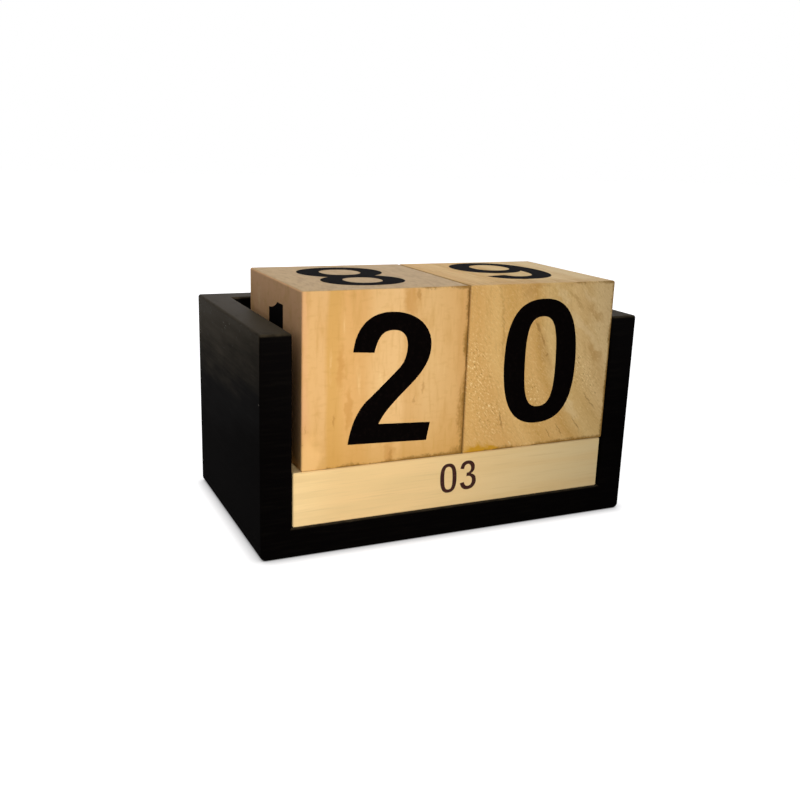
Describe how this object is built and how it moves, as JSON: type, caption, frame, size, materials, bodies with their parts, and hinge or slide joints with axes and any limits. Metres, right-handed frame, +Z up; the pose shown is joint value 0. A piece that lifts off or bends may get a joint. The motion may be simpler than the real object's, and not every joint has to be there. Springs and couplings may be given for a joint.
{
  "type": "perpetual block calendar",
  "caption": "Painted wooden tray, open at the front and top, holding two lift-out number cubes that stand on square slide-out month bars.",
  "frame": {"origin": "middle of the footprint, on the surface that the tray stands on", "axes": "+Z up; +X along the tray's width, to the right as seen from the front; the open front faces -Y"},
  "size_m": [0.121, 0.071, 0.075],
  "materials": {
    "tray_paint": "satin black paint on board",
    "cube_wood": "bare pine, sanded",
    "bar_wood": "bare pale wood, planed",
    "dowel_wood": "bare beech"
  },
  "bodies": {
    "tray": {"left_side_board": "tray_paint", "right_side_board": "tray_paint", "base_board": "tray_paint", "back_board": "tray_paint", "base_dowels": "dowel_wood", "back_dowels": "dowel_wood"},
    "tens_cube": {"tens_cube": "cube_wood"},
    "units_cube": {"units_cube": "cube_wood"},
    "rear_bar": {"rear_month_bar": "bar_wood"},
    "middle_bar": {"middle_month_bar": "bar_wood"},
    "front_bar": {"front_month_bar": "bar_wood"}
  },
  "joints": [
    {"name": "tens_cube_lift", "type": "slide", "parent": "tray", "child": "tens_cube", "axis": [0, 0, 1], "range_m": [0, 0.055]},
    {"name": "units_cube_lift", "type": "slide", "parent": "tray", "child": "units_cube", "axis": [0, 0, 1], "range_m": [0, 0.055]},
    {"name": "rear_bar_slide", "type": "slide", "parent": "tray", "child": "rear_bar", "axis": [0, -1, 0], "range_m": [0, 0.0524]},
    {"name": "middle_bar_slide", "type": "slide", "parent": "rear_bar", "child": "middle_bar", "axis": [0, -1, 0], "range_m": [0, 0.0362]},
    {"name": "front_bar_slide", "type": "slide", "parent": "middle_bar", "child": "front_bar", "axis": [0, -1, 0], "range_m": [0, 0.02]}
  ]
}
